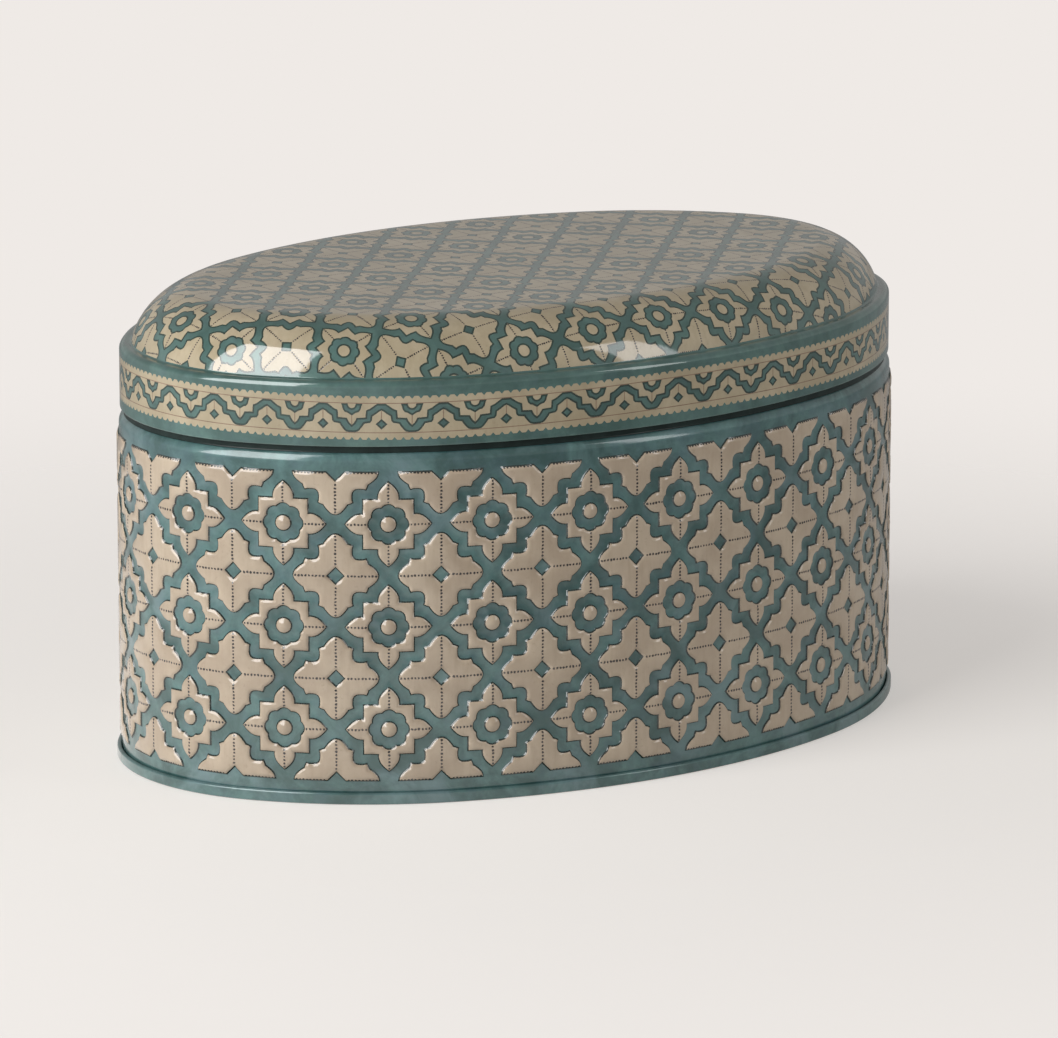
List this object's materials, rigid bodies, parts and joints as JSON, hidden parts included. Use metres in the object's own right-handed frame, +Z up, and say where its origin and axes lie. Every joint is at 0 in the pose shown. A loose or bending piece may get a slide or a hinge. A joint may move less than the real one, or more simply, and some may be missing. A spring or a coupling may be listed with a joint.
{
  "type": "oval tin box",
  "caption": "Oval tinplate storage box with an embossed wall, a double-seamed base and a domed slip lid that lifts straight off.",
  "frame": {"origin": "on the floor, under the middle of the oval", "axes": "+X along the length of the oval, +Y from the pictured front to the back, +Z up"},
  "size_m": [0.2226, 0.1456, 0.1207],
  "materials": {
    "printed_lid": "glossy printed tinplate",
    "printed_wall": "glossy printed and embossed tinplate",
    "base_enamel": "glossy enamelled tinplate"
  },
  "bodies": {
    "box": {"body_wall": "printed_wall", "base_panel": "base_enamel"},
    "lid": {"lid": "printed_lid"}
  },
  "joints": [
    {"name": "lid_lift", "type": "slide", "parent": "box", "child": "lid", "axis": [0, 0, 1], "range_m": [0, 0.06]}
  ]
}
